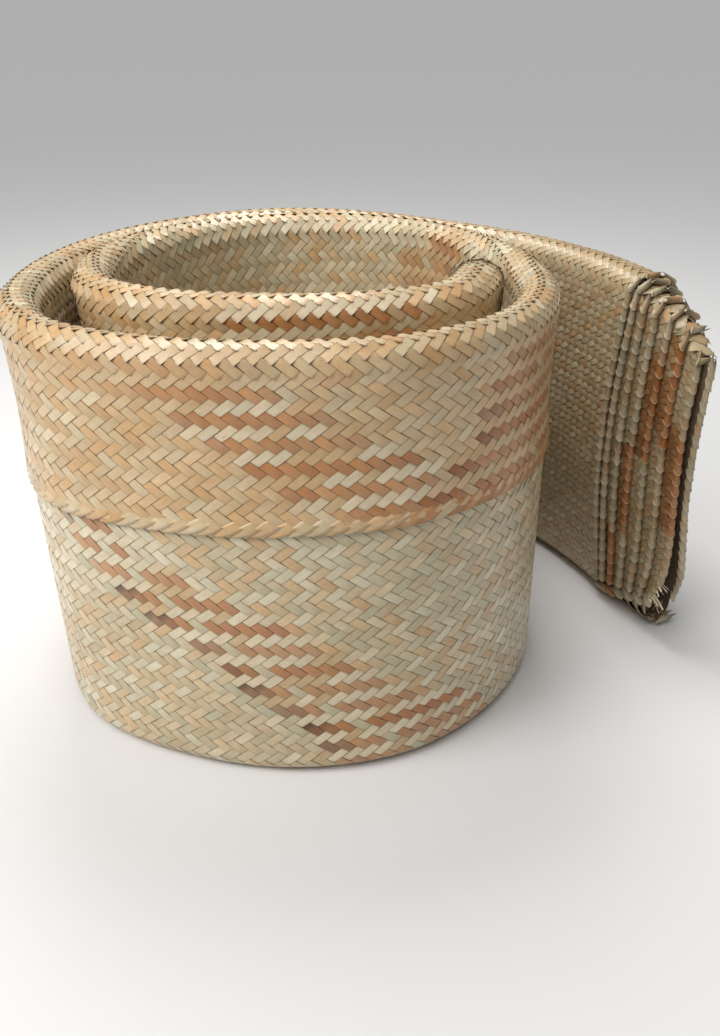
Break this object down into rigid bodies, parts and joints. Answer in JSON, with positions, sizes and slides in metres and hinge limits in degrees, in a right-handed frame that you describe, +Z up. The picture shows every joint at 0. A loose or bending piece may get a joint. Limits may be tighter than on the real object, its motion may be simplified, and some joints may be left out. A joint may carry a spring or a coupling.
{
  "type": "rolled bamboo mat",
  "caption": "Large floor mat plaited from bamboo strips, folded over and over into a band and coiled into a standing roll with one end free.",
  "frame": {"origin": "middle of the bounding box of the standing roll, on the surface it stands on", "axes": "+X towards the free end of the band, +Y away from the side where the flap's edge shows, +Z up along the roll's axis"},
  "size_m": [0.3896, 0.3412, 0.23],
  "materials": {
    "bamboo": "glossy split bamboo strips in straw and grey-green, some stained orange brown, plaited on the diagonal"
  },
  "bodies": {
    "root": {"mat": "bamboo"}
  },
  "joints": []
}
